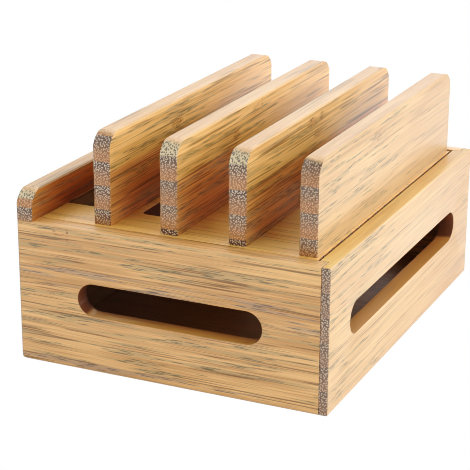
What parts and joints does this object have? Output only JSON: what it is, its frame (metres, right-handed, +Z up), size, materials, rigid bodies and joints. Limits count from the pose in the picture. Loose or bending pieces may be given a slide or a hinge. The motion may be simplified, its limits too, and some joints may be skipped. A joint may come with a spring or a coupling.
{
  "type": "charging station organizer",
  "caption": "Bamboo charging station organizer: slotted cable box, lift-off deck with upright dividers and a low side rail.",
  "frame": {"origin": "middle of the footprint, on the surface that the rubber feet stand on", "axes": "+Z up; +Y along the dividers, away from the slotted end board that the picture shows at the front; +X across the dividers, from the low rail to the long slotted board"},
  "size_m": [0.19, 0.25, 0.139],
  "materials": {
    "board_bamboo": "satin lacquered bamboo, warm tan",
    "side_bamboo": "satin lacquered bamboo, pale cream",
    "base_bamboo": "sanded bamboo sheet",
    "deck_bamboo": "satin lacquered bamboo, golden",
    "divider_bamboo": "satin lacquered bamboo with speckled end grain",
    "batten_bamboo": "sawn bamboo",
    "dowel_wood": "plain hardwood dowel",
    "screw_steel": "zinc plated",
    "foot_rubber": "matte"
  },
  "bodies": {
    "box": {"front_board": "board_bamboo", "back_board": "board_bamboo", "left_board": "side_bamboo", "right_board": "side_bamboo", "base_board": "base_bamboo", "side_rail": "divider_bamboo", "front_ledge": "batten_bamboo", "back_ledge": "batten_bamboo", "corner_dowels": "dowel_wood", "rail_dowels": "dowel_wood", "ledge_screws": "screw_steel", "foot_front_left": "foot_rubber", "foot_front_right": "foot_rubber", "foot_back_left": "foot_rubber", "foot_back_right": "foot_rubber"},
    "lid": {"deck": "deck_bamboo", "divider_1": "divider_bamboo", "divider_2": "divider_bamboo", "divider_3": "divider_bamboo", "divider_4": "divider_bamboo", "divider_screws": "screw_steel"}
  },
  "joints": [
    {"name": "lid_lift", "type": "slide", "parent": "box", "child": "lid", "axis": [0, 0, 1], "range_m": [0, 0.08]}
  ]
}
